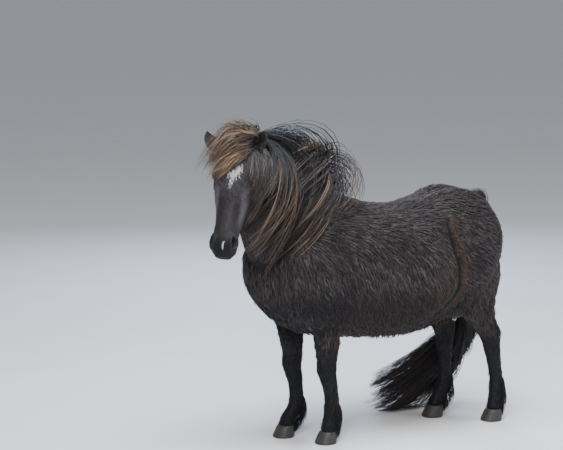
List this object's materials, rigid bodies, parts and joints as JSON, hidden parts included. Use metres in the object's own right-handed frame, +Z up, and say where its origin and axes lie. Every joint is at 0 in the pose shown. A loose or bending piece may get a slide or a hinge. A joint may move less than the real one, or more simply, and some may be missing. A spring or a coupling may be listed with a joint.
{
  "type": "icelandic horse",
  "caption": "Life-size standing horse in a shaggy winter coat, head turned to its left, with wind-blown mane, forelock and tail; a still display model.",
  "frame": {"origin": "on the floor, under the middle of the whole horse's box, hair included", "axes": "+X forward, the way the body faces; +Y to the horse's left; +Z up"},
  "size_m": [2.0674, 0.8792, 1.8503],
  "materials": {
    "coat": "long matt winter hair, smoky black with brown tips",
    "long_hair": "coarse hair of mane and tail with bleached strands",
    "hoof_horn": "dark horn, half matt, with growth rings",
    "eye": "wet and glossy, very dark brown"
  },
  "bodies": {
    "root": {"torso": "coat", "neck": "coat", "head": "coat", "ear_left": "coat", "ear_right": "coat", "eye_left": "eye", "eye_right": "eye", "tail_upper": "long_hair", "tail_lower": "long_hair", "upper_leg_fore_left": "coat", "lower_leg_fore_left": "coat", "hoof_fore_left": "hoof_horn", "upper_leg_fore_right": "coat", "lower_leg_fore_right": "coat", "hoof_fore_right": "hoof_horn", "upper_leg_hind_left": "coat", "lower_leg_hind_left": "coat", "hoof_hind_left": "hoof_horn", "upper_leg_hind_right": "coat", "lower_leg_hind_right": "coat", "hoof_hind_right": "hoof_horn"}
  },
  "joints": []
}
